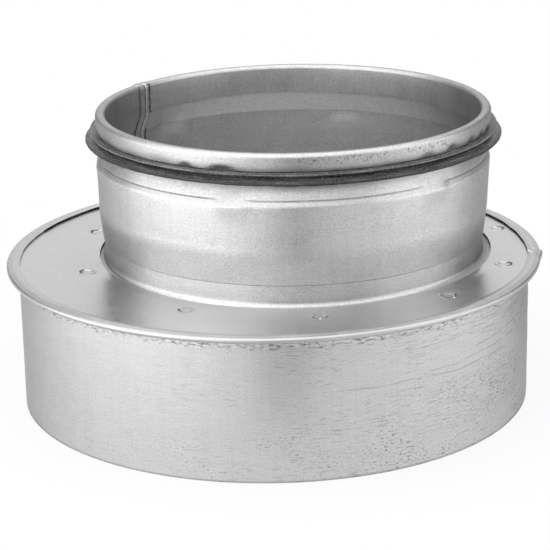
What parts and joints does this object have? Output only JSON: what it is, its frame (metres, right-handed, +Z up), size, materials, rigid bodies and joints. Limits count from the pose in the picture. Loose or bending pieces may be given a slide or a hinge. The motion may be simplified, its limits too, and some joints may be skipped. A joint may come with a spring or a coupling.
{
  "type": "eccentric duct reducer",
  "caption": "Short eccentric reducer of galvanised sheet: wide socket collar, flat spot-welded end plate and off-centre spigot with a rubber lip gasket, joining round ducts of different sizes.",
  "frame": {"origin": "on the collar's axis, at the collar's bottom edge", "axes": "+Z up along both duct axes, from the wide collar to the spigot; +X along the offset from the collar's axis to the spigot's axis"},
  "size_m": [0.169, 0.169, 0.0923],
  "materials": {
    "galvanised_steel": "zinc-coated, fine matt spangle with rub marks",
    "seal_rubber": "matt black"
  },
  "bodies": {
    "root": {"outer_collar": "galvanised_steel", "end_plate": "galvanised_steel", "spigot": "galvanised_steel", "gasket": "seal_rubber"}
  },
  "joints": []
}
